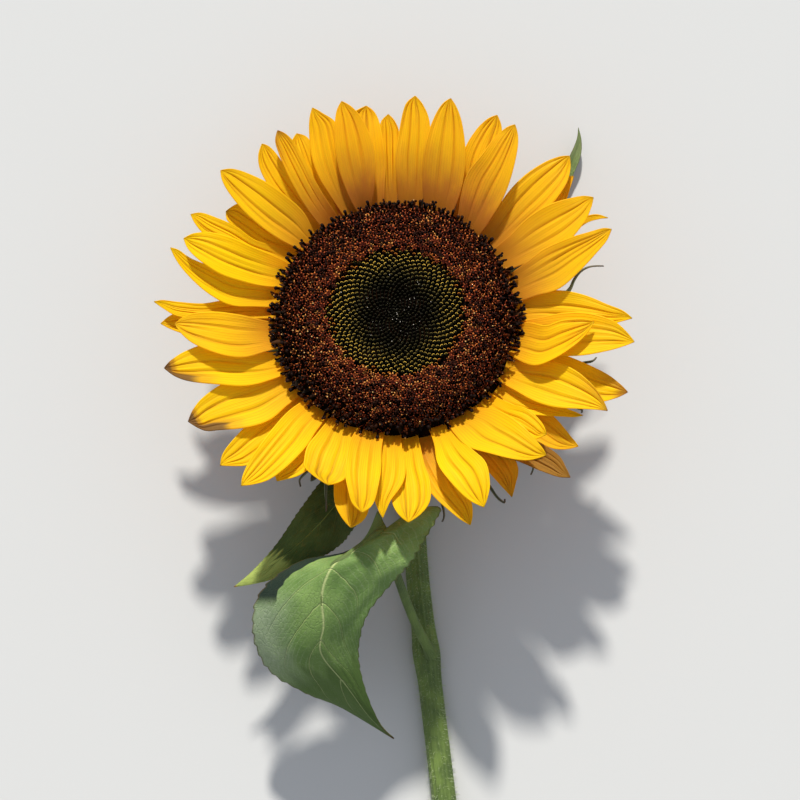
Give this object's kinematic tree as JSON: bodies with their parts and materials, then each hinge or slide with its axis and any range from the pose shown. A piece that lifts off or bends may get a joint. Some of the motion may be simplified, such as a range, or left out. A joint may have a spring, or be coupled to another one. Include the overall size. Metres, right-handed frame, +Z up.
{
  "type": "cut sunflower",
  "caption": "Cut sunflower lying on its back, face up: round dark disc in a ring of yellow rays, green bracts, bent neck, length of stem and leaves; for bouquets, vases and tables.",
  "frame": {"origin": "on the ground, at the middle of the footprint of the lying flower", "axes": "+Z up, 12 degrees from the way the bloom's face looks; +Y along the flower, from the stem's cut end to the far side of the bloom; the stem lies along -Y, turned 6.9 degrees towards +X; +X to the right when the flower is seen from above with its stem towards the viewer"},
  "size_m": [0.1566, 0.2672, 0.0666],
  "materials": {
    "ray_petal": "satin golden-yellow petal, finely ribbed lengthwise",
    "disc_floret": "matte maroon-brown open florets with near-black anthers",
    "disc_bud": "matte black-green closed buds with olive tips",
    "calyx_green": "matte green bracts with fine hairs",
    "stem_green": "matte green stem with fine ridges and hairs",
    "leaf_green": "satin dark green leaf with pale veins"
  },
  "bodies": {
    "root": {"calyx": "calyx_green", "disc_buds": "disc_bud", "disc_florets": "disc_floret", "far_leaf": "leaf_green", "left_leaf": "leaf_green", "low_leaf": "leaf_green", "neck": "stem_green", "ray_01": "ray_petal", "ray_02": "ray_petal", "ray_03": "ray_petal", "ray_04": "ray_petal", "ray_05": "ray_petal", "ray_06": "ray_petal", "ray_07": "ray_petal", "ray_08": "ray_petal", "ray_09": "ray_petal", "ray_10": "ray_petal", "ray_11": "ray_petal", "ray_12": "ray_petal", "ray_13": "ray_petal", "ray_14": "ray_petal", "ray_15": "ray_petal", "ray_16": "ray_petal", "ray_17": "ray_petal", "ray_18": "ray_petal", "ray_19": "ray_petal", "ray_20": "ray_petal", "ray_21": "ray_petal", "ray_22": "ray_petal", "ray_23": "ray_petal", "ray_24": "ray_petal", "ray_25": "ray_petal", "ray_26": "ray_petal", "ray_27": "ray_petal", "ray_28": "ray_petal", "ray_29": "ray_petal", "ray_30": "ray_petal", "ray_31": "ray_petal", "ray_32": "ray_petal", "ray_33": "ray_petal", "ray_34": "ray_petal", "ray_35": "ray_petal", "ray_36": "ray_petal", "ray_37": "ray_petal", "ray_38": "ray_petal", "ray_39": "ray_petal", "ray_40": "ray_petal", "ray_41": "ray_petal", "ray_42": "ray_petal", "ray_43": "ray_petal", "ray_44": "ray_petal", "ray_45": "ray_petal", "ray_46": "ray_petal", "stem": "stem_green"}
  },
  "joints": []
}
